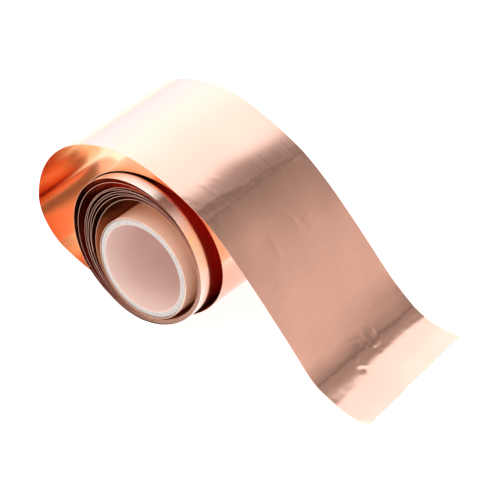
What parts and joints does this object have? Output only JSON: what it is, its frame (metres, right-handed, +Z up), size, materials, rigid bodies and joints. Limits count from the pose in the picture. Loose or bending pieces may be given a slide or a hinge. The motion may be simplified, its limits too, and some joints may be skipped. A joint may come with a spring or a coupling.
{
  "type": "copper foil tape roll",
  "caption": "Loosened roll of copper foil on a plastic core, with a wide slack outer turn and a creased free tail that reaches the surface.",
  "frame": {"origin": "centre of the core's front end", "axes": "+Y along the core's axis to the back, +X towards the free tail, +Z up from the surface it lies on"},
  "size_m": [0.1334, 0.0565, 0.0595],
  "materials": {
    "copper": "bright rolled copper foil",
    "core_plastic": "frosted white moulded plastic",
    "tape": "thin double-sided tape"
  },
  "bodies": {
    "loop": {"outer_wrap": "copper", "outer_loop": "copper"},
    "coil": {"loose_wrap_1": "copper", "loose_wrap_2": "copper", "loose_wrap_3": "copper", "loose_wrap_4": "copper", "loose_wrap_5": "copper", "loose_wrap_6": "copper", "loose_wrap_7": "copper", "loose_wrap_8": "copper"},
    "spool": {"core": "core_plastic", "start_tape": "tape", "tight_wraps": "copper"},
    "tail": {"tail": "copper"},
    "tail_end": {"tail_end": "copper"}
  },
  "joints": [
    {"name": "coil_telescope", "type": "slide", "parent": "loop", "child": "coil", "axis": [0, -1, 0], "range_m": [-0.008, 0.012]},
    {"name": "core_turn", "type": "hinge", "parent": "coil", "child": "spool", "pos_m": [0, 0.025, 0], "axis": [0, -1, 0], "range_deg": [-20, 20]},
    {"name": "tail_lift", "type": "hinge", "parent": "loop", "child": "tail", "pos_m": [0.02472, 0.027, 0.02794], "axis": [0, -1, 0], "range_deg": [0, 60]},
    {"name": "tip_fold", "type": "hinge", "parent": "tail", "child": "tail_end", "pos_m": [0.06945, 0.027, -0.01527], "axis": [0, -1, 0], "range_deg": [0, 75]}
  ]
}
